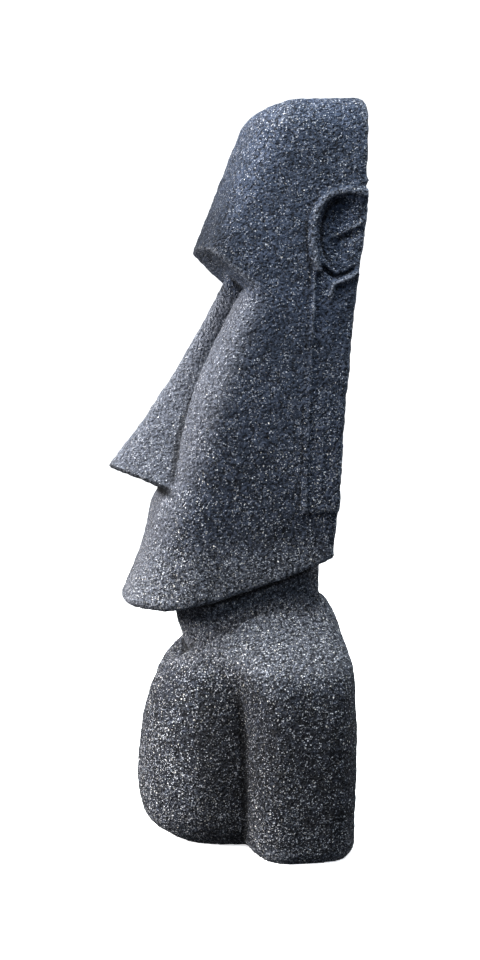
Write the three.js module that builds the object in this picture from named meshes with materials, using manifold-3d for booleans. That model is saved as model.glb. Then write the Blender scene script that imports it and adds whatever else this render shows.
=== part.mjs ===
// A moai: a tall stone head on a short neck and a low bust, with the arms held at its sides, cast in one piece.
// Millimetres, +Z up. The face looks along -Y and the statue's left side is +X.
// It is roughed out as a carver would do it. Tapering blocks make the crown, the face, the neck, the shoulders and
// the chest. Straight cuts across them, along X, make the brow and the jaw. The nose and the ears come last.
import * as THREE from "three";
import { mergeVertices } from "three/addons/utils/BufferGeometryUtils.js";
import Module from "manifold-3d";

// Driving dimensions
const HEIGHT = 1000;
const CHIN_Z = 319; // lowest point of the chin
const JAW_BACK_Z = 387; // underside of the jaw, at the back of the head
const BROW = { y: -62, z: 800 }; // foremost edge of the brow, in the middle
const BROW_ROOF_SLOPE = 0.87; // how steeply the underside of the brow falls towards the back
const FOREHEAD_LEAN = 0.4; // how far the forehead leans back for each millimetre of height
const CROWN_ROUND = { front: 40, side: 44, back: 12 }; // edge radii round the top of the head
const CROWN_SLOPE = { frontY: 0, backY: 125, drop: 7 }; // the top falls by the drop from the back to the front
const NOSE_TIP = { y: -184, z: 504 };
const NOSE_BASE = { y: -112, z: 480 }; // where the underside of the nose meets the lip
const NOSE_ROOT_Z = 785;
const EYE_HOLLOW = { halfWidth: 44, topZ: 760, bottomZ: 560, depth: 12 };
const JAW_SWEEP = 1.3; // above 1, the jaw line rises faster towards the back
const EAR = { y: 112, z: 812, halfDepth: 41, halfHeight: 62, proud: 6, bevel: 3 };
const EAR_DISH = { y: 118, depth: 14, halfDepth: 34, halfHeight: 51 }; // it opens through the back of the rim
const LOBE = { topZ: 775, bottomZ: 450, topY: 73, bottomY: 60.5, proud: 3, bevel: 2 };
const WIDEST_Y = 88; // the head's widest line runs this far behind the axis
const NECK = { halfWidth: 86, back: 99, topZ: 420, bottomZ: 200 };
const SHOULDER_TOP_Z = 332;
const CHEST_TOP_Z = 290;
const FOOT_ROUND = { shoulders: 20, chest: 44 }; // edge radii round the underside
const THROAT_DIP = { y: -92, z: 293, halfWidth: 52, halfDepth: 62, halfHeight: 48 };
const CLEAR = 400; // reach of a cut that runs right off the statue
const EMBED = 30; // how deep a raised part is seated in the block behind it

const wasm = await Module();
wasm.setup();

// Curves and lofts

/** A smooth curve through [place, value] knots, held level past both ends. */
function curveThrough(knots) {
  const places = knots.map(([place]) => place);
  const values = knots.map(([, value]) => value);
  const curve = new THREE.CubicInterpolant(places, values, 1);
  return (place) => curve.evaluate(THREE.MathUtils.clamp(place, places[0], places.at(-1)))[0];
}

/** How far a quarter-round edge has drawn in, at this distance from the face it rounds over to. */
function roundOver(distance, radius) {
  const left = Math.max(0, radius - distance);
  return radius - Math.sqrt(radius ** 2 - left ** 2);
}

/** Even steps from one number to another, both included. */
function steps(from, to, count) {
  return Array.from({ length: count + 1 }, (_, i) => THREE.MathUtils.lerp(from, to, i / count));
}

/** A plan outline: two half superellipses that share the block's widest line, the front one narrowing forwards. */
function planOutline(plan, count) {
  const { front, back, widest = WIDEST_Y, halfWidth, frontPower, backPower, taper = 0 } = plan;
  return steps(0, 2 * Math.PI, count)
    .slice(0, -1)
    .map((angle) => {
      const power = 2 / (Math.cos(angle) > 0 ? frontPower : backPower);
      const forward = Math.sign(Math.cos(angle)) * Math.abs(Math.cos(angle)) ** power;
      const side = Math.sign(Math.sin(angle)) * Math.abs(Math.sin(angle)) ** power;
      const narrowing = 1 - taper * Math.max(0, forward) ** 2;
      const reach = forward > 0 ? front - widest : widest - back;
      return new THREE.Vector2(halfWidth * side * narrowing, widest + reach * forward);
    });
}

/** A closed block through the plan outlines at rising levels, with flat ends. */
function loft(levels, planAt, count) {
  const positions = [];
  const faces = [];
  const addFan = (ring, up) => {
    const centre = positions.length / 3;
    const { front, back } = planAt(levels[ring]);
    positions.push(0, (front + back) / 2, levels[ring]);
    for (let i = 0; i < count; i++) {
      const here = ring * count + i;
      const next = ring * count + ((i + 1) % count);
      faces.push(centre, ...(up ? [here, next] : [next, here]));
    }
  };
  for (const z of levels) for (const { x, y } of planOutline(planAt(z), count)) positions.push(x, y, z);
  for (let ring = 0; ring < levels.length - 1; ring++)
    for (let i = 0; i < count; i++) {
      const here = ring * count + i;
      const next = ring * count + ((i + 1) % count);
      faces.push(here, next, next + count, here, next + count, here + count);
    }
  addFan(0, false);
  addFan(levels.length - 1, true);
  return new THREE.BufferGeometry()
    .setAttribute("position", new THREE.Float32BufferAttribute(positions, 3))
    .setIndex(faces);
}

/** A side outline, drawn with y to the right and z up, carried straight across the statue from one x to another. */
function across(outline, fromX, toX, bevel = 0) {
  const geometry = new THREE.ExtrudeGeometry(outline, {
    depth: toX - fromX - bevel,
    bevelEnabled: bevel > 0,
    bevelThickness: bevel,
    bevelSize: bevel,
    bevelOffset: -bevel,
    bevelSegments: 2,
    curveSegments: 10,
  });
  const drawnToStatue = new THREE.Matrix4().makeBasis(
    new THREE.Vector3(0, 1, 0),
    new THREE.Vector3(0, 0, 1),
    new THREE.Vector3(1, 0, 0),
  );
  return geometry.applyMatrix4(drawnToStatue).translate(fromX, 0, 0);
}

/** A closed geometry as a solid, ready to join and cut. */
function solid(geometry) {
  const bare = geometry.clone();
  bare.deleteAttribute("normal");
  bare.deleteAttribute("uv");
  const merged = mergeVertices(bare, 1e-3);
  return new wasm.Manifold(
    new wasm.Mesh({
      numProp: 3,
      vertProperties: merged.attributes.position.array,
      triVerts: new Uint32Array(merged.index.array),
    }),
  );
}

/** The same shape on both sides of the statue. */
const bothSides = (body) => body.add(body.mirror([1, 0, 0]));

// The head

const headHalfWidth = curveThrough([
  [300, 101],
  [400, 107],
  [520, 111],
  [660, 112],
  [800, 110],
  [900, 104],
  [HEIGHT, 97],
]);
const headBack = curveThrough([
  [300, 102],
  [390, 107.5],
  [500, 115],
  [620, 123.5],
  [745, 136],
  [880, 149.5],
  [HEIGHT, 157.5],
]);
const faceFront = curveThrough([
  [300, -151],
  [334, -165.5],
  [344, -161],
  [368, -150],
  [395, -139],
  [420, -131],
  [449, -124],
  [465, -118],
  [485, -106],
  [510, -98],
  [550, -91],
  [590, -82],
  [629, -69],
  [669, -51],
  [728, -21],
  [790, 14],
]);

/** Height of the sloping underside of the brow at a given y. */
const browRoofZ = (y) => BROW.z - BROW_ROOF_SLOPE * (y - BROW.y);

/** The whole head as one leaning block, before the face is cut back into it. */
function headBlock() {
  const foreheadPower = curveThrough([
    [BROW.z, 7.5],
    [920, 6],
    [HEIGHT, 5],
  ]);
  const plan = (z) => {
    const below = HEIGHT - z;
    return {
      front: BROW.y + FOREHEAD_LEAN * (z - BROW.z) + roundOver(below, CROWN_ROUND.front),
      back: headBack(z) - roundOver(below, CROWN_ROUND.back),
      halfWidth: headHalfWidth(z) - roundOver(below, CROWN_ROUND.side),
      frontPower: foreheadPower(z),
      backPower: 9,
      taper: 0.2,
    };
  };
  const levels = [...steps(300, 940, 20), 956, 968, 978, 986, 992, 997, HEIGHT];
  const { frontY, backY, drop } = CROWN_SLOPE;
  const aboveCrown = new THREE.Shape()
    .moveTo(frontY - CLEAR, HEIGHT - drop)
    .lineTo(frontY, HEIGHT - drop)
    .lineTo(backY, HEIGHT)
    .lineTo(backY, HEIGHT + CLEAR)
    .lineTo(frontY - CLEAR, HEIGHT + CLEAR);
  return solid(loft(levels, plan, 56)).subtract(solid(across(aboveCrown, -CLEAR, CLEAR)));
}

/** What is cut away under the brow: all but the face, whose cheeks grow squarer towards the eyes. */
function besideFace() {
  const behind = WIDEST_Y + 12; // the cut ends where the head is at its full width
  const clearance = 5; // the cheeks stand this far outside the head, so that they end flush with it
  const underBrow = new THREE.Shape()
    .moveTo(-CLEAR, browRoofZ(-CLEAR))
    .lineTo(-CLEAR, 0)
    .lineTo(behind, 0)
    .lineTo(behind, browRoofZ(behind));
  const cheekPower = curveThrough([
    [320, 3.2],
    [420, 3.6],
    [520, 4.4],
    [620, 5.6],
    [700, 6.8],
    [750, 8],
  ]);
  const plan = (z) => ({
    front: faceFront(z),
    back: 2 * WIDEST_Y,
    halfWidth: headHalfWidth(z) + clearance,
    frontPower: cheekPower(z),
    backPower: 9,
    taper: 0.14,
  });
  const keptFace = solid(loft(steps(240, 820, 29), plan, 56));
  return solid(across(underBrow, -CLEAR, CLEAR)).subtract(keptFace);
}

/** Hollows beside the root of the nose, between it and the cheeks. */
function eyeHollows() {
  const { halfWidth, topZ, bottomZ, depth } = EYE_HOLLOW;
  const floor = (z) => faceFront(z) + depth;
  const ahead = (z) => faceFront(z) - EMBED;
  const middleZ = (topZ + bottomZ) / 2;
  const hollow = new THREE.Shape()
    .moveTo(ahead(topZ), topZ)
    .lineTo(floor(topZ), topZ)
    .lineTo(floor(middleZ), middleZ)
    .lineTo(faceFront(bottomZ), bottomZ)
    .lineTo(ahead(bottomZ), bottomZ);
  return solid(across(hollow, -halfWidth, halfWidth));
}

/** The nose widens and stands out further towards its slanting underside. */
function nose() {
  const ridge = curveThrough([
    [470, -209],
    [NOSE_TIP.z, NOSE_TIP.y],
    [531, -166],
    [585, -125],
    [638, -89],
    [692, -57.5],
    [752, -27],
    [790, -6],
  ]);
  const halfWidth = curveThrough([
    [470, 58],
    [500, 50],
    [550, 37],
    [600, 28],
    [660, 22],
    [750, 18],
  ]);
  const power = curveThrough([
    [500, 1.6],
    [600, 1.9],
    [700, 2.3],
  ]);
  const plan = (z) => ({
    front: ridge(z),
    back: 60,
    widest: faceFront(z) + 18,
    halfWidth: halfWidth(z),
    frontPower: power(z),
    backPower: 4,
  });
  const block = solid(loft(steps(470, NOSE_ROOT_Z, 12), plan, 24));
  const underSlope = (NOSE_TIP.z - NOSE_BASE.z) / (NOSE_TIP.y - NOSE_BASE.y);
  const undersideZ = (y) => NOSE_BASE.z + underSlope * (y - NOSE_BASE.y);
  const underside = new THREE.Shape()
    .moveTo(-CLEAR, undersideZ(-CLEAR))
    .lineTo(-CLEAR, 0)
    .lineTo(0, 0)
    .lineTo(0, undersideZ(0));
  return block.subtract(solid(across(underside, -CLEAR, CLEAR)));
}

/** Everything below the jaw line, which sweeps up from the chin to the back of the head. */
function belowJaw() {
  const [lowestY, backY, pastBack] = [-120, 100, 1.3];
  const jaw = steps(0, pastBack, 9).map(
    (along) =>
      new THREE.Vector2(
        THREE.MathUtils.lerp(lowestY, backY, along),
        THREE.MathUtils.lerp(CHIN_Z, JAW_BACK_Z, along ** JAW_SWEEP),
      ),
  );
  const chinTip = { y: -166, z: CHIN_Z + 17 };
  const outline = new THREE.Shape()
    .moveTo(-CLEAR, 0)
    .lineTo(-CLEAR, chinTip.z)
    .lineTo(chinTip.y, chinTip.z)
    .quadraticCurveTo(chinTip.y + 3, CHIN_Z + 2, -142, CHIN_Z + 1);
  for (const point of jaw) outline.lineTo(point.x, point.y);
  outline.lineTo(jaw.at(-1).x, 0);
  return solid(across(outline, -CLEAR, CLEAR));
}

/** The left ear: a raised oval, dished and open towards the back, and the long lobe that hangs from it. */
function ear() {
  const side = headHalfWidth(EAR.z);
  const seated = side - EMBED;
  const rim = new THREE.Shape().absellipse(EAR.y, EAR.z, EAR.halfDepth, EAR.halfHeight, 0, 2 * Math.PI);
  const dish = new THREE.SphereGeometry(1, 24, 12)
    .scale(EAR_DISH.depth, EAR_DISH.halfDepth, EAR_DISH.halfHeight)
    .translate(side + EAR.proud, EAR_DISH.y, EAR.z);
  const lobe = new THREE.Shape()
    .moveTo(LOBE.topY, LOBE.topZ)
    .lineTo(LOBE.bottomY, LOBE.bottomZ)
    .lineTo(headBack(LOBE.bottomZ) - 2, LOBE.bottomZ)
    .lineTo(headBack(LOBE.topZ) - 2, LOBE.topZ);
  const [low, high] = [EAR.z - 80, EAR.z + 80]; // a little beyond the ear, below and above
  const pastBack = 3; // the ear ends this far behind the back of the head
  const behindHead = new THREE.Shape()
    .moveTo(headBack(low) + pastBack, low)
    .lineTo(headBack(high) + pastBack, high)
    .lineTo(CLEAR, high)
    .lineTo(CLEAR, low);
  return {
    raised: solid(across(rim, seated, side + EAR.proud, EAR.bevel))
      .add(solid(across(lobe, seated, side + LOBE.proud, LOBE.bevel)))
      .subtract(solid(across(behindHead, 0, CLEAR))),
    dish: solid(dish),
  };
}

function head() {
  const left = ear();
  return headBlock()
    .subtract(besideFace())
    .subtract(eyeHollows())
    .add(nose())
    .subtract(belowJaw())
    .add(bothSides(left.raised))
    .subtract(bothSides(left.dish));
}

// The bust

function neck() {
  const front = curveThrough([
    [200, -52],
    [243, -69],
    [279, -84],
    [306, -92],
    [400, -96],
  ]);
  const plan = (z) => ({
    front: front(z),
    back: NECK.back,
    widest: 20,
    halfWidth: NECK.halfWidth,
    frontPower: 2.6,
    backPower: 4.5,
  });
  return solid(loft(steps(NECK.bottomZ, NECK.topZ, 8), plan, 40));
}

/** Shoulders, back and arms: a broad block that rounds over to the neck at the top. */
function shoulders() {
  const halfWidth = curveThrough([
    [0, 187],
    [110, 190.5],
    [200, 188],
    [232, 184.5],
    [250, 174],
    [264, 156],
    [285, 127],
    [308, 97],
    [SHOULDER_TOP_Z, 74],
  ]);
  const front = curveThrough([
    [0, -18],
    [110, -22],
    [180, -24],
    [230, -30],
    [270, -34],
    [300, -14],
    [SHOULDER_TOP_Z, 18],
  ]);
  const back = curveThrough([
    [0, 134],
    [110, 137],
    [190, 136.5],
    [254, 132],
    [300, 122],
    [SHOULDER_TOP_Z, 108],
  ]);
  const plan = (z) => {
    const drawnIn = roundOver(z, FOOT_ROUND.shoulders);
    return {
      front: front(z) + drawnIn,
      back: back(z) - drawnIn,
      widest: 50,
      halfWidth: halfWidth(z) - drawnIn,
      frontPower: 3,
      backPower: 4,
    };
  };
  const levels = [0, 1.5, 5, 11, 20, ...steps(45, 200, 3), ...steps(216, SHOULDER_TOP_Z, 10)];
  return solid(loft(levels, plan, 52));
}

/** The chest and belly, which stand out in front of the arms, with a dip at the throat. */
function chest() {
  const halfWidth = curveThrough([
    [0, 112],
    [60, 118],
    [130, 120],
    [190, 117],
    [240, 104],
    [CHEST_TOP_Z, 80],
  ]);
  const front = curveThrough([
    [0, -130],
    [30, -138.5],
    [70, -144.5],
    [133, -141],
    [177, -133],
    [211, -122],
    [243, -107],
    [270, -82],
    [CHEST_TOP_Z, -50],
  ]);
  const plan = (z) => {
    const drawnIn = roundOver(z, FOOT_ROUND.chest);
    return {
      front: front(z) + drawnIn,
      back: 60,
      widest: 0,
      halfWidth: halfWidth(z) - drawnIn,
      frontPower: 2.35,
      backPower: 4,
    };
  };
  const levels = [0, 2, 7, 15, 26, 44, ...steps(70, 200, 4), ...steps(216, CHEST_TOP_Z, 5)];
  const { y, z, ...reach } = THROAT_DIP;
  const throatDip = new THREE.SphereGeometry(1, 24, 16)
    .scale(reach.halfWidth, reach.halfDepth, reach.halfHeight)
    .translate(0, y, z);
  return solid(loft(levels, plan, 52)).subtract(solid(throatDip));
}

// The whole statue, stood with the middle of its outline on the origin

const statue = head().add(shoulders()).add(chest()).add(neck());
const { vertProperties, triVerts } = statue.getMesh();
const geometry = new THREE.BufferGeometry()
  .setAttribute("position", new THREE.BufferAttribute(vertProperties, 3))
  .setIndex(new THREE.BufferAttribute(triVerts, 1));
geometry.computeBoundingBox();
const middle = geometry.boundingBox.getCenter(new THREE.Vector3());
geometry.translate(-middle.x, -middle.y, -geometry.boundingBox.min.z);
geometry.computeVertexNormals();

const stone = new THREE.MeshStandardMaterial({ color: 0x3b4250, roughness: 0.92, metalness: 0 });
const moai = new THREE.Mesh(geometry, stone);
moai.name = "moai_statue";

const group = new THREE.Group();
group.add(moai);

export default group;
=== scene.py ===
"""A dark cast-stone moai: one solid field of carved forms, meshed, weathered and lit in a plain studio.

Lengths are metres. The forms are written in the statue's own axes: z up, the face towards -y, the
statue's left towards +x, and both sides alike. They are moved into the frame by the box of the CAD
solid that they replace.
"""

import math

import bpy
import numpy as np
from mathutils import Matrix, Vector, noise


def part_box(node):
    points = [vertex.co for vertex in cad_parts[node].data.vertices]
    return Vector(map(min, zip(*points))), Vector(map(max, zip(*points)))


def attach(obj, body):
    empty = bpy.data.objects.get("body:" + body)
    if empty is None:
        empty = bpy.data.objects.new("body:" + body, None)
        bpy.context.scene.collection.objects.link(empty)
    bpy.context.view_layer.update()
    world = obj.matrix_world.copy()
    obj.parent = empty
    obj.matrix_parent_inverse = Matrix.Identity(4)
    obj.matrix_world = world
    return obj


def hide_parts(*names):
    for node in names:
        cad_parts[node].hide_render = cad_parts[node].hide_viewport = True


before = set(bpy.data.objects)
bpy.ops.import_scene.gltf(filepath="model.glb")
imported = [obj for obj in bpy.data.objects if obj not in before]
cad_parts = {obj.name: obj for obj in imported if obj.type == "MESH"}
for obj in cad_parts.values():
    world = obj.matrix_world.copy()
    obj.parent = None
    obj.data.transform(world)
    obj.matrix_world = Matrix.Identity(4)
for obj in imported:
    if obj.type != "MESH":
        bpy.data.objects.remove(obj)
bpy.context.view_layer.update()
NODE = "moai_statue"

# Driving dimensions
CAD_LOW, CAD_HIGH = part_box(NODE)
HEIGHT = CAD_HIGH.z - CAD_LOW.z
BROW_Y, BROW_Z = -0.062, 0.800  # foremost edge of the brow
BROW_ROOF_SLOPE = 0.87
FOREHEAD_LEAN = 0.40
HEAD_WIDEST_Y = 0.088
CHIN_Z = 0.319
JAW_BACK_Z = 0.387
NOSE_TIP_Y, NOSE_TIP_Z = -0.1765, 0.505
NOSE_BASE_Y, NOSE_BASE_Z = -0.112, 0.480
NOSE_UNDER_SLOPE = (NOSE_TIP_Z - NOSE_BASE_Z) / (NOSE_TIP_Y - NOSE_BASE_Y)
FOREMOST_Y = -0.18424  # where the tip of the CAD solid's nose stands in these axes
SHIFT_Y = CAD_LOW.y - FOREMOST_Y  # from these axes to the frame
NECK_HALF_WIDTH = 0.086
EAR_Y, EAR_Z = 0.112, 0.812
LOBE_BOTTOM_Z = 0.447

CELL = 0.0040  # spacing of the field's grid
EAR_CELL = 0.0024  # and its spacing through the ears
UNEVENNESS = (  # bumps to a metre, their depth, and where in the noise they start
    (22, 0.0010, (0, 0, 0)),  # broad and hand-worked
    (62, 0.0009, (7, 1, 3)),  # lumps
    (125, 0.0011, (2, 9, 4)),  # grains as fine as the mesh holds
)
WORN_BACK = 0.0006  # from the whole surface, so that few bumps stand outside the form
FLATTENED = 0.0006  # the underside is flat up to this height
EDGE_WEAR_AND_CREASE_SHADE = "standing_out"  # the mesh attribute that tells edges from creases: edges are worn paler, creases get painted shade
EDGE_WEAR_AND_CREASE_SHADE_ROUNDS = 7  # of smoothing: more makes wider worn edges and wider painted shade in creases
FINE_SPACING, COARSE_SPACING = 0.0022, 0.0034  # between grains of grit
BUMP_DEPTH = 0.0060
FLOOR_GLOW = 0.66  # keeps the floor and wall pale, as in the plain white setting of a catalogue picture


# ---------------------------------------------------------------- curves and joins

def curve(*knots):
    """A smooth curve through (place, value) knots, held level past both ends."""
    place, value = np.array(knots, float).T
    secant = np.diff(value) / np.diff(place)
    slope = np.empty_like(value)
    slope[0], slope[-1] = secant[0], secant[-1]
    before, after = np.diff(place)[:-1], np.diff(place)[1:]
    slope[1:-1] = (secant[:-1] * after + secant[1:] * before) / (before + after)

    def at(p):
        p = np.clip(p, place[0], place[-1])
        i = np.clip(np.searchsorted(place, p, side="right") - 1, 0, len(place) - 2)
        span = place[i + 1] - place[i]
        t = (p - place[i]) / span
        return (
            (1 + 2 * t) * (1 - t) ** 2 * value[i] + t * (1 - t) ** 2 * span * slope[i]
            + t * t * (3 - 2 * t) * value[i + 1] - t * t * (1 - t) * span * slope[i + 1]
        )
    return at


def ramp(value, start, end):
    """0 before start, 1 after end, smooth between."""
    t = np.clip((value - start) / (end - start), 0, 1)
    return t * t * (3 - 2 * t)


def join(a, b, radius):
    """Union of two fields, with a fillet of this radius in the crease."""
    u, v = np.maximum(radius - a, 0), np.maximum(radius - b, 0)
    return np.maximum(radius, np.minimum(a, b)) - np.hypot(u, v)


def trim(a, b, radius):
    """What lies in both fields, with the edge rounded to this radius."""
    u, v = np.maximum(radius + a, 0), np.maximum(radius + b, 0)
    return np.minimum(-radius, np.maximum(a, b)) + np.hypot(u, v)


# ---------------------------------------------------------------- the grid and its mesh

def spaced(start, end, fine_start, fine_end):
    """Grid lines from start to end, closer together between fine_start and fine_end."""
    lines = [start]
    while lines[-1] < end:
        last = lines[-1]
        fine = ramp(last, fine_start - 0.01, fine_start) * (1 - ramp(last, fine_end, fine_end + 0.01))
        lines.append(lines[-1] + CELL + (EAR_CELL - CELL) * fine)
    return np.array(lines)


HALF_X = (np.arange(int(0.20 / CELL)) + 0.5) * CELL
Y_LINES = spaced(-0.186, 0.170, 0.070, 0.150)
Z_LINES = np.concatenate([[-CELL], spaced(0.0, 1.008, 0.745, 0.878)]) + 0.35 * CELL
Z_LINES[0] = -0.65 * CELL
X, Y, Z = np.meshgrid(HALF_X, Y_LINES, Z_LINES, indexing="ij")


def distance(field):
    """A field that is zero on a surface, evened out to read roughly as the distance from it."""
    slopes = np.gradient(field, HALF_X, Y_LINES, Z_LINES)
    return field / np.maximum(np.sqrt(sum(s * s for s in slopes)), 0.5)


def block(front, back, half_width, front_power, back_power, widest=HEAD_WIDEST_Y, taper=0.0):
    """A tapering block whose plan is two half superellipses that share its widest line."""
    ahead = Y < widest
    reach = np.where(ahead, (widest - Y) / (widest - front), (Y - widest) / (back - widest))
    reach = np.clip(reach, 0, 3)
    narrowing = 1 - taper * np.where(ahead, np.minimum(reach, 1.2), 0) ** 2
    power = np.where(ahead, front_power, back_power)
    radius = (reach ** power + (X / (half_width * narrowing)) ** power) ** (1 / power)
    return distance(radius - 1)


def surface_net(field, lines):
    """Vertices and quads of a field's zero surface on a grid of lines: one vertex in each cell it crosses."""
    inside = field < 0
    shape = np.array(field.shape) - 1
    corner_ids = [np.array(c) for c in np.ndindex(2, 2, 2)]

    def corner(array, c):
        return array[c[0]:c[0] + shape[0], c[1]:c[1] + shape[1], c[2]:c[2] + shape[2]]

    count = sum(corner(inside, c).astype(np.int8) for c in corner_ids)
    cells = np.argwhere((count > 0) & (count < 8))
    number = np.full(tuple(shape), -1)
    number[tuple(cells.T)] = np.arange(len(cells))
    total = np.zeros((len(cells), 3))
    hits = np.zeros(len(cells))
    for c in corner_ids:
        for axis in range(3):
            if c[axis]:
                continue
            far = c.copy()
            far[axis] = 1
            a = field[tuple((cells + c).T)]
            b = field[tuple((cells + far).T)]
            crossed = (a < 0) != (b < 0)
            step = np.where(crossed, a / np.where(crossed, a - b, 1), 0)
            start = np.stack([lines[k][cells[:, k] + c[k]] for k in range(3)], 1)
            start[:, axis] += step * (lines[axis][cells[:, axis] + 1] - lines[axis][cells[:, axis]])
            total += start * crossed[:, None]
            hits += crossed
    vertices = total / hits[:, None]
    quads = []
    for axis in range(3):
        one, two = [k for k in range(3) if k != axis]
        low = [slice(1, -1)] * 3
        low[axis] = slice(0, -1)
        high = list(low)
        high[axis] = slice(1, None)
        starts_inside, ends_inside = inside[tuple(low)], inside[tuple(high)]
        edges = np.argwhere(starts_inside != ends_inside)
        outward = starts_inside[tuple(edges.T)]
        edges[:, one] += 1
        edges[:, two] += 1
        ring = []
        for back_one, back_two in ((1, 1), (0, 1), (0, 0), (1, 0)):
            cell = edges.copy()
            cell[:, one] -= back_one
            cell[:, two] -= back_two
            ring.append(number[tuple(cell.T)])
        ring = np.stack(ring, 1)
        turned = outward if axis != 1 else ~outward
        ring[~turned] = ring[~turned][:, ::-1]
        quads.append(ring)
    return vertices, np.concatenate(quads)


# ---------------------------------------------------------------- the head

head_half_width = curve((0.30, 0.101), (0.40, 0.107), (0.52, 0.111), (0.66, 0.112), (0.80, 0.110),
                        (0.90, 0.104), (1.00, 0.097))
head_back = curve((0.30, 0.102), (0.39, 0.1075), (0.50, 0.1150), (0.62, 0.1235), (0.745, 0.1355),
                  (0.88, 0.1485), (1.00, 0.1555))
face_front = curve((0.300, -0.150), (0.334, -0.1655), (0.344, -0.161), (0.368, -0.150), (0.395, -0.139),
                   (0.420, -0.131), (0.449, -0.124), (0.465, -0.118), (0.485, -0.106), (0.510, -0.098),
                   (0.550, -0.091), (0.590, -0.082), (0.629, -0.069), (0.669, -0.051), (0.728, -0.021),
                   (0.790, 0.014))
# the distance above the slanting underside of the brow
roof = (Z - BROW_Z + BROW_ROOF_SLOPE * (Y - BROW_Y)) / math.hypot(1, BROW_ROOF_SLOPE)


def forehead_at(z):
    return BROW_Y + FOREHEAD_LEAN * (z - BROW_Z)


def head_side():
    """Outside the sides of the head, which draw in from the ears to the face."""
    reach = np.maximum(HEAD_WIDEST_Y - Y, 0) / (HEAD_WIDEST_Y - forehead_at(Z))
    return distance(X - head_half_width(Z) * (1 - 0.20 * reach ** 2))


def head_block(side):
    """The leaning block of the head, rounded over at the crown."""
    bulge = 0.008 * (X / 0.09) ** 2
    forehead = distance(forehead_at(Z) + bulge - Y)
    front_corner = curve((0.80, 0.020), (0.92, 0.028), (1.0, 0.032))(Z)
    sides = trim(side, forehead, front_corner)
    crown_top = HEIGHT - 0.0010 - 0.0050 * ramp(-Y, -0.125, -0.03)
    domed = trim(sides, Z - crown_top, curve((0.0, 0.031), (0.08, 0.046))(Y))
    nub = 0.0035 * np.exp(-((Z - 0.887) / 0.005) ** 2)
    ear_back = 0.0055 * ramp(Z, 0.755, 0.840) * (1 - ramp(Z, 0.862, 0.874))
    at_edge = ramp(X, 0.088, 0.102)
    return trim(domed, distance(Y - head_back(Z) - at_edge * (nub + ear_back)), 0.012)


def face(side):
    """The long face under the brow, squarer at the cheekbones and rounder at the mouth."""
    front = distance(face_front(Z) - Y)
    socket = 0.016 * ramp(Z, 0.50, 0.68) * (1 - ramp(X, 0.032, 0.054))
    corner = curve((0.32, 0.084), (0.42, 0.072), (0.52, 0.056), (0.62, 0.044), (0.70, 0.035),
                   (0.75, 0.026))(Z)
    cheeks = trim(side, front, corner) + socket
    return trim(cheeks, roof, 0.001 + curve((0.04, 0.007), (0.06, 0.016))(X) * ramp(-Y, -0.004, 0.014))


def nose():
    """A long nose that widens and lifts towards its slanting underside."""
    ridge = curve((0.465, -0.216), (NOSE_TIP_Z, NOSE_TIP_Y - 0.011), (0.531, -0.168), (0.585, -0.1265),
                  (0.638, -0.0915), (0.692, -0.0595), (0.752, -0.028), (0.800, -0.002))(Z)
    half_width = curve((0.47, 0.058), (0.50, 0.050), (0.55, 0.037), (0.60, 0.028), (0.66, 0.021),
                       (0.75, 0.016))(Z)
    power = curve((0.50, 1.6), (0.60, 2.0), (0.70, 2.5))(Z)
    sides = block(ridge, 0.06, half_width, power, 4, widest=face_front(Z) + 0.016)
    under = (NOSE_BASE_Z + NOSE_UNDER_SLOPE * (Y - NOSE_BASE_Y) - Z) / math.hypot(1, NOSE_UNDER_SLOPE)
    return trim(trim(sides, under, 0.004), Z - BROW_Z, 0.004)


def jaw_cut():
    """Positive below the jaw line, which sweeps up from the chin to the back of the head."""
    along = np.clip((Y + 0.12) / 0.22, 0, 1.4)
    return CHIN_Z + (JAW_BACK_Z - CHIN_Z) * along ** 1.3 - Z


def near(path, full, gone):
    """1 within `full` of a smooth path of (y, z) points on the side of the head, fading to 0 at `gone`."""
    y_along = curve(*[(i, p[0]) for i, p in enumerate(path)])
    z_along = curve(*[(i, p[1]) for i, p in enumerate(path)])
    steps = np.linspace(0, len(path) - 1, 12 * len(path))
    y, z = Y[0] - EAR_Y, Z[0] - EAR_Z
    away = np.full(y.shape, 1.0)
    for t in steps:
        away = np.minimum(away, np.hypot(y - y_along(t), z - z_along(t)))
    return 1 - ramp(away, full, gone)


def ear_relief():
    """How far the ear stands out of the side of the head, and sinks into it, at each y and z."""
    y, z = Y[0] - EAR_Y, Z[0] - EAR_Z
    rim = near([(0.036, 0.058), (0.018, 0.061), (0.000, 0.060), (-0.018, 0.053), (-0.031, 0.038),
                (-0.0375, 0.018), (-0.038, -0.006), (-0.036, -0.024), (-0.030, -0.040)], 0.0030, 0.0085)
    behind = 0.55 * np.maximum(y - 0.003, 0)
    around = np.hypot((y - 0.003 - behind) / 0.0335, (z - 0.003) / 0.0520)
    inside = 1 - ramp(around, 0.84, 1.0)
    scoop = -0.0010 - 0.0085 * (1 - ramp(y - 0.25 * z, -0.026, 0.022))
    fold = 0.0024 * near([(0.030, 0.022), (0.016, 0.015), (0.002, 0.008), (-0.010, 0.003)], 0.001, 0.0075)
    valley = -0.0026 * near([(0.028, 0.008), (0.012, 0.003), (-0.001, -0.003), (-0.008, -0.016)],
                            0.0015, 0.0075)
    bowl = (scoop + fold + valley) * inside
    crack = -0.0050 * near([(-0.026, -0.037), (-0.017, -0.0445), (-0.007, -0.049), (0.007, -0.0455),
                            (0.014, -0.041)], 0.0004, 0.0042)
    curl = 0.0048 * near([(0.020, -0.047), (0.010, -0.052), (-0.001, -0.0565), (-0.011, -0.061),
                          (-0.0145, -0.075)], 0.0015, 0.0060)
    return 0.0060 * rim * (1 - 0.8 * inside) + bowl + crack + curl


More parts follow.
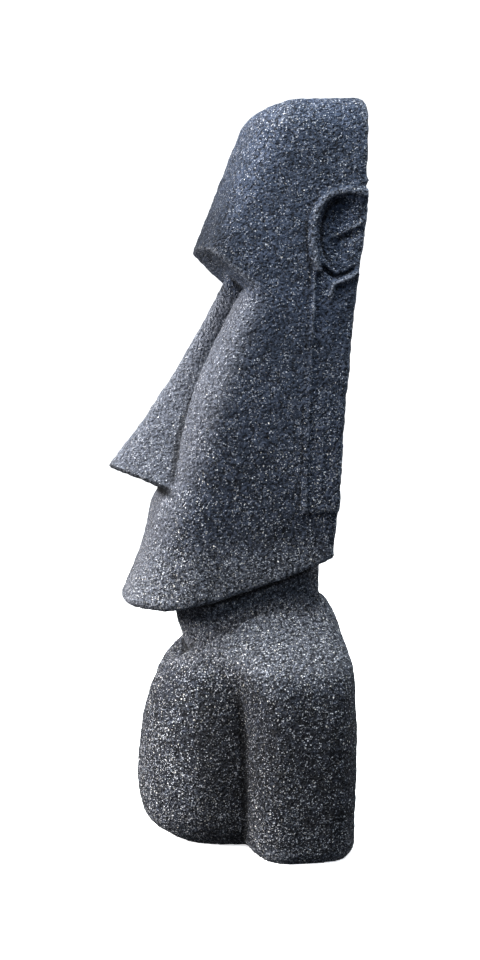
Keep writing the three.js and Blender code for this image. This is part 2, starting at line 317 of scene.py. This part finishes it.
def lobe_relief():
    """The long lobe below the ear: a strip with a beaded front edge and a ridge in it, ending in a step."""
    y, z = Y[0], Z[0]
    front = 0.0605 + 0.0385 * (z - 0.452)
    within = ramp(z, LOBE_BOTTOM_Z + 0.001, LOBE_BOTTOM_Z + 0.0055) * (1 - ramp(z, 0.776, 0.800))
    thickness = 0.0014 + 0.0036 * (1 - ramp(z, 0.455, 0.56))
    strip = thickness * ramp(y, front - 0.002, front + 0.002)
    edge = 0.0036 * np.exp(-((y - front - 0.003) / 0.0036) ** 2)
    inner = 0.0026 * np.exp(-((y - front - 0.0235) / 0.0026) ** 2)
    inner = inner * ramp(z, 0.476, 0.484) * (1 - ramp(z, 0.55, 0.57))
    return (strip + edge + inner) * within


def head():
    side = head_side()
    face_or_brow = join(-roof, face(side), 0.004)
    solid = trim(head_block(side), face_or_brow, 0.002)
    solid = join(solid, nose(), 0.006)
    solid = trim(solid, jaw_cut(), curve((-0.14, 0.010), (0.0, 0.006), (0.09, 0.003))(Y))
    past_back = Y - head_back(Z)
    on_side = ramp(X, 0.060, 0.085) * ramp(side - past_back, -0.012, 0.001)  # and not on the back
    return solid - on_side * (ear_relief() + lobe_relief())


# ---------------------------------------------------------------- the bust

def neck():
    front = curve((0.20, -0.052), (0.243, -0.069), (0.279, -0.084), (0.306, -0.092), (0.40, -0.096))(Z)
    column = block(front, 0.099, NECK_HALF_WIDTH, 2.6, 4.5, widest=0.02)
    return trim(column, np.abs(Z - 0.30) - 0.12, 0.004)


def shoulders():
    """Shoulders, back and arms, rounding over to the neck."""
    half_width = curve((0.0, 0.186), (0.11, 0.1885), (0.20, 0.1875), (0.232, 0.184), (0.250, 0.174),
                       (0.264, 0.156), (0.285, 0.127), (0.308, 0.097), (0.335, 0.070))(Z)
    front = curve((0.0, -0.018), (0.11, -0.022), (0.18, -0.024), (0.23, -0.030), (0.27, -0.034),
                  (0.30, -0.014), (0.335, 0.020))(Z)
    back = curve((0.0, 0.134), (0.11, 0.137), (0.19, 0.1365), (0.254, 0.132), (0.30, 0.122),
                 (0.335, 0.107))(Z)
    sides = block(front, back, half_width, 3.5, 4, widest=0.05)
    body = trim(sides, Z - 0.332, 0.006)
    return trim(body, -Z, 0.016)


def chest():
    """Chest and belly, which stand out in front of the arms."""
    half_width = curve((0.0, 0.112), (0.06, 0.118), (0.13, 0.120), (0.19, 0.117), (0.24, 0.104),
                       (0.29, 0.080))(Z)
    front = curve((0.0, -0.130), (0.03, -0.1385), (0.07, -0.1445), (0.133, -0.141), (0.177, -0.133),
                  (0.211, -0.122), (0.243, -0.107), (0.270, -0.082), (0.292, -0.048))(Z)
    sides = block(front, 0.06, half_width, 2.35, 4, widest=0.0)
    body = trim(trim(sides, Z - 0.292, 0.004), -Z, 0.044)
    dip = distance(np.sqrt((X / 0.052) ** 2 + ((Y + 0.092) / 0.062) ** 2 + ((Z - 0.293) / 0.048) ** 2) - 1)
    return trim(body, -dip, 0.012)


def statue():
    groove = curve((0.0, 0.002), (0.15, 0.003), (0.21, 0.014), (0.26, 0.040))(Z)
    bust = join(shoulders(), chest(), groove)
    bust = join(bust, neck(), 0.007)
    return join(bust, head(), 0.003)


# ---------------------------------------------------------------- the piece

def weathered(vertices, normals):
    """Lays unevenness of each kind in UNEVENNESS over the surface and wears all of it back."""
    kinds = [(scale, depth, Vector(start)) for scale, depth, start in UNEVENNESS]
    shift = np.zeros(len(vertices))
    for i, point in enumerate(vertices):
        p = Vector(point)
        shift[i] = sum(depth * noise.noise(p * scale + start) for scale, depth, start in kinds)
    return vertices + normals * (shift - WORN_BACK)[:, None]


def normals_of(vertices, quads):
    corners = vertices[quads]
    face = np.cross(corners[:, 2] - corners[:, 0], corners[:, 3] - corners[:, 1])
    total = np.zeros_like(vertices)
    for k in range(4):
        np.add.at(total, quads[:, k], face)
    return total / np.maximum(np.linalg.norm(total, axis=1, keepdims=True), 1e-12)


def standing_out(vertices, quads, normals):
    """How far each vertex stands out of what surrounds it: above zero on edges, below zero in creases."""
    count = np.bincount(quads.ravel(), minlength=len(vertices))
    smooth = vertices
    for _ in range(EDGE_WEAR_AND_CREASE_SHADE_ROUNDS):
        centres = np.repeat(smooth[quads].mean(axis=1), 4, axis=0)
        sums = [np.bincount(quads.ravel(), centres[:, k], len(vertices)) for k in range(3)]
        smooth = np.stack([total / count for total in sums], 1)
    return ((vertices - smooth) * normals).sum(axis=1)


def make_statue():
    half = statue().astype(np.float64)
    field = np.concatenate([half[::-1], half])
    x_lines = np.concatenate([-HALF_X[::-1], HALF_X])
    vertices, quads = surface_net(field, (x_lines, Y_LINES, Z_LINES))
    resting = vertices[:, 2] < 0.5 * CELL
    normals = normals_of(vertices, quads)
    relief = standing_out(vertices, quads, normals)
    vertices = weathered(vertices, normals)
    flat = resting | (vertices[:, 2] < FLATTENED)
    vertices[flat, 2] = 0.0
    vertices[:, 1] += SHIFT_Y
    mesh = bpy.data.meshes.new("moai_stone")
    mesh.from_pydata(vertices.tolist(), [], quads.tolist())
    mesh.validate()
    mesh.attributes.new(EDGE_WEAR_AND_CREASE_SHADE, "FLOAT", "POINT").data.foreach_set("value", relief)
    mesh.polygons.foreach_set("use_smooth", np.ones(len(mesh.polygons), bool))
    piece = bpy.data.objects.new("moai_stone", mesh)
    bpy.context.scene.collection.objects.link(piece)
    return piece


# ---------------------------------------------------------------- materials

class Nodes:
    """Shorthand for building a node tree: add() makes a node, sets its sockets and returns it."""

    def __init__(self, tree):
        self.tree = tree

    def add(self, kind, sockets=None, **settings):
        node = self.tree.nodes.new(kind)
        for name, value in settings.items():
            setattr(node, name, value)
        for name, value in (sockets or {}).items():
            if isinstance(value, bpy.types.NodeSocket):
                self.tree.links.new(value, node.inputs[name])
            else:
                node.inputs[name].default_value = value
        return node

    def noise(self, vector, scale, detail=2.0, roughness=0.5):
        sockets = {"Vector": vector, "Scale": scale, "Detail": detail, "Roughness": roughness}
        return self.add("ShaderNodeTexNoise", sockets).outputs["Fac"]

    def grade(self, value, low, high, to_low=0.0, to_high=1.0):
        sockets = {"Value": value, "From Min": low, "From Max": high, "To Min": to_low, "To Max": to_high}
        return self.add("ShaderNodeMapRange", sockets, interpolation_type="SMOOTHSTEP").outputs["Result"]

    def math(self, operation, a, b=0.0):
        return self.add("ShaderNodeMath", {0: a, 1: b}, operation=operation).outputs["Value"]

    def mix(self, factor, a, b):
        node = self.add("ShaderNodeMix", data_type="RGBA")
        for index, value in ((0, factor), (6, a), (7, b)):
            if isinstance(value, bpy.types.NodeSocket):
                self.tree.links.new(value, node.inputs[index])
            else:
                node.inputs[index].default_value = value
        return node.outputs[2]


def linear(red, green, blue):
    """A colour given as it looks on screen, 0 to 255, as the linear values that a shader takes."""
    seen = [c / 255 for c in (red, green, blue)]
    return tuple(c / 12.92 if c < 0.0392 else ((c + 0.055) / 1.055) ** 2.4 for c in seen) + (1,)


# tones of the stone; a pair is the two ends of a range
# the upper stone is bluer and lighter than the lower: painted sky light falling from above
SKYLIT_UPPER_STONE = linear(38, 45, 58), linear(47, 55, 71)
LESS_SKYLIT_LOWER_STONE = linear(22, 25, 32), linear(32, 36, 45)
MOTTLING = linear(84, 91, 108)
EARTHY_STONE = linear(37, 35, 34)
# the face and the shoulders are paler partly from wear and partly from painted light where the lamps fall on
# them; the edges are worn paler
FACE_WEAR_AND_PAINTED_LIGHT = linear(100, 102, 111)
SHOULDER_WEAR_AND_PAINTED_LIGHT = linear(96, 98, 106)
WORN_EDGE = linear(112, 116, 126)
FINE_GRIT = linear(84, 90, 104), linear(196, 197, 202)
COARSE_GRIT = linear(140, 136, 132), linear(238, 234, 227)
PIT = linear(11, 12, 16)

FACE_LEAN = 0.365  # the front of the face comes forward this much for each metre down
FACE_FOOT_Y, FACE_FOOT_Z = -0.161, 0.344  # a point on that slope, just above the chin's foremost edge
FACE_LINE = FACE_FOOT_Y + SHIFT_Y - FACE_LEAN * FACE_FOOT_Z  # where the slope would be in y at z = 0
# where the plane of the nose's underside stands in z at y = 0
NOSE_RIM_LINE = NOSE_BASE_Z - NOSE_UNDER_SLOPE * (NOSE_BASE_Y + SHIFT_Y)


class Zones:
    """Parts of the stone with their own grit, wear or tone, and parts where light and shade are painted into
    the colour. Each is 0 outside, 1 inside and smooth between.
    """

    def __init__(self, n, height, depth):
        def both(a, b):
            return n.math("MULTIPLY", a, b)

        # towards the foot: thicker grit and wider pits, and less of the painted sky light on the stone
        self.lower = n.grade(height, 0.80, 0.25)
        self.earthy = n.grade(height, 0.40, 0.12)

        # the face below the brow: less coarse grit, fainter pits, and paler partly from wear and partly from
        # painted light
        behind_face = n.math("MULTIPLY_ADD", height, -FACE_LEAN)
        n.tree.links.new(depth, behind_face.node.inputs[2])
        on_face = n.grade(behind_face, FACE_LINE + 0.046, FACE_LINE + 0.002)
        below_brow = n.grade(height, 0.750, 0.725)
        above_chin = n.grade(height, 0.300, 0.325)
        self.face = both(both(below_brow, on_face), above_chin)

        # the forehead and the underside of the brow: darkened in painted shade
        above_brow_roof = n.grade(height, 0.725, 0.750)
        self.forehead = both(above_brow_roof, n.grade(depth, 0.010, -0.045))
        # the front of the chest: a little more grit, and lighter in painted light
        self.chest = both(n.grade(height, 0.31, 0.27), n.grade(depth, -0.030, -0.105))
        # a band round the shoulders and the neck: more grit from wear, and paler partly from wear and partly
        # from painted light
        self.shoulder = both(n.grade(height, 0.225, 0.275), n.grade(height, 0.44, 0.35))
        self.foot = n.grade(height, 0.085, 0.0)

        # the groove between the chest and the arm: darkened in painted shade
        groove_depth = both(n.grade(depth, -0.085, -0.045), n.grade(depth, 0.010, -0.015))
        self.groove = both(groove_depth, n.grade(height, 0.255, 0.205))

        # a band along the edge of the nose's underside: darkened in painted shade
        above_rim = n.math("MULTIPLY_ADD", depth, -NOSE_UNDER_SLOPE)
        n.tree.links.new(height, above_rim.node.inputs[2])
        at_rim = n.grade(above_rim, NOSE_RIM_LINE + 0.0065, NOSE_RIM_LINE + 0.0035)
        on_nose = both(n.grade(depth, -0.080, -0.100), n.grade(height, 0.465, 0.475))
        self.nose_rim_shade = both(at_rim, on_nose)

        # standing-out edges are worn paler; creases are darkened in painted shade
        relief = n.add("ShaderNodeAttribute", attribute_name=EDGE_WEAR_AND_CREASE_SHADE).outputs["Fac"]
        self.edge = n.grade(relief, 0.0004, 0.0016)
        self.crease = n.grade(relief, -0.0003, -0.0014)


def ground_colour(n, place, mottled, zones):
    """The stone between the grains: bluer and lighter towards the top in painted sky light, paler on the face
    and the shoulders partly from wear and partly from painted light, and worn paler on the edges.
    """
    cloudy = n.grade(n.noise(place, 14, 4), 0.35, 0.65)
    # bluer and lighter towards the top: painted sky light
    ground = n.mix(zones.lower, n.mix(cloudy, *SKYLIT_UPPER_STONE), n.mix(cloudy, *LESS_SKYLIT_LOWER_STONE))
    ground = n.mix(n.grade(mottled, 0.38, 0.72, 0, 0.45), ground, MOTTLING)
    ground = n.mix(n.math("MULTIPLY", zones.earthy, 0.50), ground, EARTHY_STONE)
    # paler face: partly wear, partly painted light
    ground = n.mix(n.math("MULTIPLY", zones.face, 0.64), ground, FACE_WEAR_AND_PAINTED_LIGHT)
    # paler shoulders: partly wear, partly painted light
    ground = n.mix(n.math("MULTIPLY", zones.shoulder, 0.50), ground, SHOULDER_WEAR_AND_PAINTED_LIGHT)
    return n.mix(n.math("MULTIPLY", zones.edge, 0.45), ground, WORN_EDGE)


def grit(n, place, spacing, share, least, most, seed):
    """Where the grains are, and each one's own tone.

    A share of them shows, and their radii run from least to most, in spacings.
    """
    sockets = {0: place, 1: (seed, 2 * seed, 3 * seed)}
    moved = n.add("ShaderNodeVectorMath", sockets, operation="ADD").outputs[0]
    wobble = n.add("ShaderNodeTexNoise", {"Vector": moved, "Scale": 1.6 / spacing, "Detail": 1.0})
    sockets = {0: wobble.outputs["Color"], 1: (spacing * 0.9,) * 3, 2: moved}
    wobbly = n.add("ShaderNodeVectorMath", sockets, operation="MULTIPLY_ADD").outputs[0]
    sockets = {"Vector": wobbly, "Scale": 1 / spacing, "Randomness": 1.0}
    cells = n.add("ShaderNodeTexVoronoi", sockets)
    chance = n.add("ShaderNodeSeparateColor", {"Color": cells.outputs["Color"]})
    shown = n.math("LESS_THAN", chance.outputs["Red"], share)
    grown = n.grade(chance.outputs["Green"], 0.0, 1.0, least, most)
    edge = n.math("SUBTRACT", grown, cells.outputs["Distance"])
    return n.math("MULTIPLY", n.grade(edge, 0.0, 0.08), shown), chance.outputs["Blue"]


def add_grit(n, place, zones, colour):
    """Fine and coarse grains over a colour: more of both towards the foot and where the stone is worn."""
    wear = n.math("MAXIMUM", zones.shoulder, zones.foot)
    patchy = n.grade(n.noise(place, 9, 3), 0.35, 0.65, 0.7, 1.2)
    patchy = n.math("MULTIPLY", patchy, n.grade(wear, 0, 1, 0.90, 1.55))
    patchy = n.math("MULTIPLY", patchy, n.grade(zones.chest, 0, 1, 1.0, 1.15))
    fine_share = n.math("MULTIPLY", n.grade(zones.lower, 0, 1, 0.62, 0.88), patchy)
    coarse_share = n.math("MULTIPLY", n.grade(zones.lower, 0.1, 1, 0.035, 0.50), patchy)
    coarse_share = n.math("MULTIPLY", coarse_share, n.grade(zones.face, 0, 1, 1.0, 0.55))
    fine, fine_tone = grit(n, place, FINE_SPACING, fine_share, 0.28, 0.46, seed=1.91)
    coarse, coarse_tone = grit(n, place, COARSE_SPACING, coarse_share, 0.12, 0.30, seed=0.37)
    fine_strength = n.math("MULTIPLY", fine, n.grade(zones.lower, 0, 1, 0.66, 0.98))
    colour = n.mix(fine_strength, colour, n.mix(fine_tone, *FINE_GRIT))
    return n.mix(coarse, colour, n.mix(coarse_tone, *COARSE_GRIT))


def add_pits(n, pebbles, zones, colour):
    """Dark in the low places between the pebbles, wider towards the foot and fainter on the face."""
    sockets = {"Value": pebbles, "From Min": n.grade(zones.lower, 0, 1, 0.34, 0.62), "From Max": 0.0,
               "To Min": 0.0, "To Max": 0.85}
    pitted = n.add("ShaderNodeMapRange", sockets).outputs["Result"]
    pitted = n.math("MULTIPLY", pitted, n.grade(zones.face, 0, 1, 1.0, 0.70))
    return n.mix(pitted, colour, PIT)


def painted_light_and_shade(n, height, zones):
    """What the colour is multiplied by: painted light, above 1 on the crown and the chest, and painted shade,
    below 1 on the forehead and the brow's underside, in creases, in the groove and along the nose's
    underside.
    """
    # the crown is lighter in painted sky light from above
    tone = n.grade(height, 0.90, 0.985, 1.0, 1.22)
    for zone, strength in (
        # painted shade on the forehead and under the brow
        (zones.forehead, 0.50),
        # painted light on the front of the chest
        (zones.chest, 1.40),
        # painted shade in creases
        (zones.crease, 0.30),
        # painted shade in the groove between chest and arm
        (zones.groove, 0.62),
        # painted shade along the nose's underside
        (zones.nose_rim_shade, 0.30),
    ):
        tone = n.math("MULTIPLY", tone, n.grade(zone, 0, 1, 1.0, strength))
    return tone


def stone_material():
    """Dark blue-grey cast stone with white and buff grit showing in it, thicker lower down, with light and
    shade painted into its colour in places.
    """
    material = bpy.data.materials.new("speckled_cast_stone")
    material.use_nodes = True
    n = Nodes(material.node_tree)
    shader = n.tree.nodes["Principled BSDF"]
    place = n.add("ShaderNodeTexCoord").outputs["Object"]
    along = n.add("ShaderNodeSeparateXYZ", {"Vector": place})
    depth, height = along.outputs["Y"], along.outputs["Z"]
    zones = Zones(n, height, depth)
    mottled = n.noise(place, 120, 3, 0.6)
    pebbles = n.grade(n.noise(place, 260, 2, 0.5), 0.34, 0.62)
    pits = n.noise(place, 430, 2, 0.6)

    colour = ground_colour(n, place, mottled, zones)
    colour = add_grit(n, place, zones, colour)
    colour = add_pits(n, pebbles, zones, colour)
    # the colour multiplied by painted light and shade
    sockets = {0: colour, "Scale": painted_light_and_shade(n, height, zones)}
    toned = n.add("ShaderNodeVectorMath", sockets, operation="SCALE").outputs[0]
    n.tree.links.new(toned, shader.inputs["Base Color"])
    n.tree.links.new(n.grade(mottled, 0.3, 0.7, 0.78, 0.92), shader.inputs["Roughness"])
    shader.inputs["Specular IOR Level"].default_value = 0.08

    pebbled = n.math("MULTIPLY_ADD", pits, 1.2)
    n.tree.links.new(pebbles, pebbled.node.inputs[2])
    bump = n.add("ShaderNodeBump", {"Strength": 1.0, "Distance": BUMP_DEPTH, "Height": pebbled})
    n.tree.links.new(bump.outputs["Normal"], shader.inputs["Normal"])
    return material


def plain_material(name, colour, glow):
    material = bpy.data.materials.new(name)
    material.use_nodes = True
    shader = material.node_tree.nodes["Principled BSDF"]
    shader.inputs["Base Color"].default_value = colour
    shader.inputs["Roughness"].default_value = 0.9
    shader.inputs["Emission Color"].default_value = (1, 1, 1, 1)
    shader.inputs["Emission Strength"].default_value = glow
    return material


# ---------------------------------------------------------------- the studio

def make_studio():
    """A pale floor that sweeps up into a wall all round. It takes shadows but throws no light back."""
    floor_radius, sweep, wall_top = 6.0, 1.5, 9.0
    profile = [(0.0, 0.0), (floor_radius, 0.0)]
    for angle in np.linspace(0.1, math.pi / 2, 12):
        profile.append((floor_radius + sweep * math.sin(angle), sweep * (1 - math.cos(angle))))
    profile.append((floor_radius + sweep, wall_top))
    turns = 96
    vertices, faces = [], []
    for radius, z in profile:
        for i in range(turns):
            angle = 2 * math.pi * i / turns
            vertices.append((radius * math.cos(angle), radius * math.sin(angle), z))
    for ring in range(len(profile) - 1):
        for i in range(turns):
            a, b = ring * turns + i, ring * turns + (i + 1) % turns
            faces.append((a, b, b + turns, a + turns))
    mesh = bpy.data.meshes.new("studio_floor")
    mesh.from_pydata(vertices, [], faces)
    mesh.polygons.foreach_set("use_smooth", np.ones(len(mesh.polygons), bool))
    floor = bpy.data.objects.new("studio_floor", mesh)
    bpy.context.scene.collection.objects.link(floor)
    floor.data.materials.append(plain_material("pale_floor", (0.86, 0.86, 0.87, 1), FLOOR_GLOW))
    floor.visible_diffuse = False
    floor.visible_glossy = False
    floor.visible_shadow = False


def add_light(name, place, target, size, power, colour):
    light = bpy.data.lights.new(name, "AREA")
    light.shape = "DISK"
    light.size = size
    light.energy = power
    light.color = colour
    lamp = bpy.data.objects.new(name, light)
    lamp.location = place
    lamp.rotation_euler = (Vector(target) - Vector(place)).to_track_quat("-Z", "Y").to_euler()
    lamp.visible_camera = False
    bpy.context.scene.collection.objects.link(lamp)


def light_studio():
    """Soft lights, brightest in front of the face, and a faint one that makes the back readable."""
    middle = (0, 0, HEIGHT / 2)
    warm = (1.0, 0.98, 0.95)
    add_light("key", (-0.70, -2.60, 1.9), middle, size=1.6, power=330, colour=warm)
    add_light("rake", (0.80, -2.70, 1.5), middle, size=0.9, power=180, colour=warm)
    add_light("top", (0.6, 0.2, 3.2), middle, size=1.6, power=260, colour=(0.90, 0.97, 1.0))
    add_light("fill", (2.6, -0.5, 2.0), middle, size=1.6, power=24, colour=(0.55, 0.78, 1.0))
    add_light("back", (-1.2, 2.6, 1.6), middle, size=1.6, power=70, colour=(0.90, 0.95, 1.0))
    world = bpy.context.scene.world or bpy.data.worlds.new("studio")
    bpy.context.scene.world = world
    world.use_nodes = True
    background = world.node_tree.nodes["Background"]
    background.inputs["Color"].default_value = (0.85, 0.91, 1.0, 1)
    background.inputs["Strength"].default_value = 0.30


def add_camera():
    """The photograph's viewpoint: from the statue's left, a little ahead of square on, and slightly above."""
    azimuth, elevation, distance_away = math.radians(80), math.radians(5.5), 2.4
    target = Vector((0, 0.0109, 0.4866))
    offset = Vector((
        math.sin(azimuth) * math.cos(elevation),
        -math.cos(azimuth) * math.cos(elevation),
        math.sin(elevation),
    ))
    lens = bpy.data.cameras.new("camera")
    lens.lens = 65.7
    lens.sensor_width = 36
    camera = bpy.data.objects.new("camera", lens)
    camera.location = target + offset * distance_away
    camera.rotation_euler = (-offset).to_track_quat("-Z", "Y").to_euler()
    bpy.context.scene.collection.objects.link(camera)
    bpy.context.scene.camera = camera


add_camera()
make_studio()
light_studio()
bpy.context.scene.view_settings.view_transform = "Standard"

moai = make_statue()
moai.data.materials.append(stone_material())
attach(moai, "root")
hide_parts(NODE)
